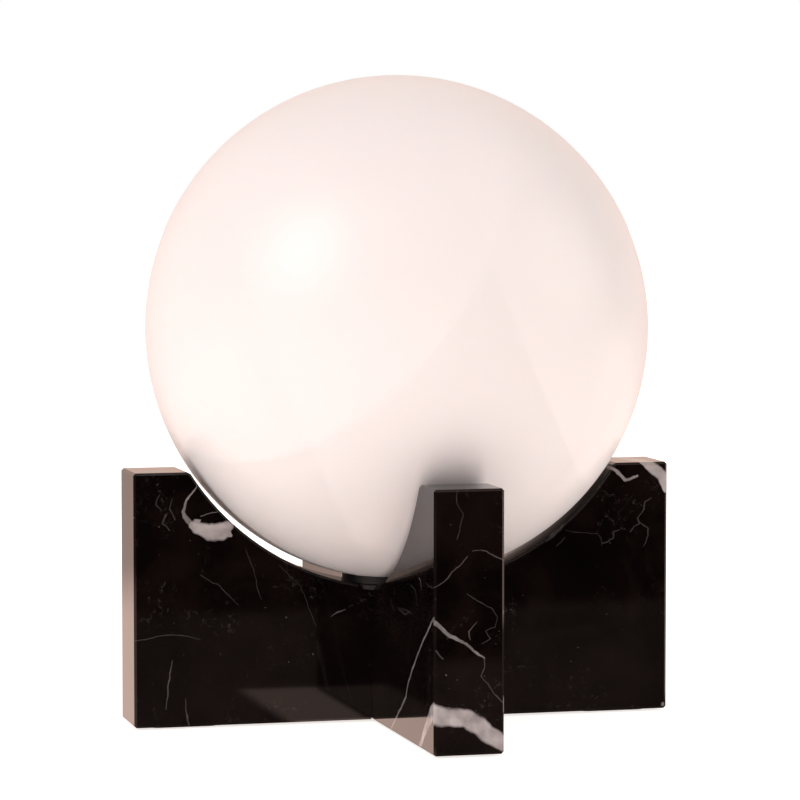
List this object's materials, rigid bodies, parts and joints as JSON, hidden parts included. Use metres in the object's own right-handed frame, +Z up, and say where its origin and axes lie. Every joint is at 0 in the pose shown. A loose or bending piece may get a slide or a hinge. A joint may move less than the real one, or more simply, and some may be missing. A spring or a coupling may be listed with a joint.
{
  "type": "glass globe table lamp",
  "caption": "Opal glass globe lamp cradled by crossing upright slabs of polished black marble. The globe lifts off to reach the bulb.",
  "frame": {"origin": "centre of the footprint, on the surface the lamp stands on", "axes": "+Z up, +Y to the back where the cable leaves, +X to the right seen from the front"},
  "size_m": [0.24, 0.24, 0.2815],
  "materials": {
    "marble": "polished black marble, white veins",
    "opal_glass": "satin opal glass",
    "black_steel": "satin black powder coat",
    "zinc_steel": "bright zinc plate",
    "brass": "plain",
    "nickel": "nickel plate",
    "holder_plastic": "moulded, satin black",
    "insert_plastic": "moulded, off-white",
    "black_rubber": "matt",
    "felt": "pressed felt",
    "bulb_plastic": "matt white",
    "bulb_cover": "frosted",
    "black_insulator": "glassy black",
    "solder": "dull tin",
    "mast_aluminium": "plain",
    "led_yellow": "phosphor",
    "board_green": "solder mask"
  },
  "bodies": {
    "base": {"long_slab": "marble", "cross_slab": "marble", "cable_bush": "black_rubber", "threaded_tube": "zinc_steel", "bottom_washer": "zinc_steel", "bottom_nut": "zinc_steel", "carrier_gasket": "black_rubber", "globe_carrier": "black_steel", "lock_nut": "zinc_steel", "holder_cap": "holder_plastic", "grub_screw": "zinc_steel", "holder_body": "holder_plastic", "holder_insert": "insert_plastic", "side_contact": "brass", "centre_contact": "brass", "terminal_screws": "brass", "felt_pad_right": "felt", "felt_pad_rear": "felt", "felt_pad_left": "felt", "felt_pad_front": "felt"},
    "bulb": {"bulb_cap": "nickel", "bulb_insulator": "black_insulator", "bulb_tip": "solder", "bulb_housing": "bulb_plastic", "bulb_envelope": "bulb_cover", "led_mast": "mast_aluminium", "led_chips": "led_yellow", "driver_board": "board_green"},
    "globe": {"glass_globe": "opal_glass", "rim_ring": "black_rubber"}
  },
  "joints": [
    {"name": "globe_lift", "type": "slide", "parent": "base", "child": "globe", "axis": [0, 0, 1], "range_m": [0, 0.15]},
    {"name": "bulb_draw", "type": "slide", "parent": "base", "child": "bulb", "axis": [0, 0, 1], "range_m": [0, 0.03]}
  ]
}
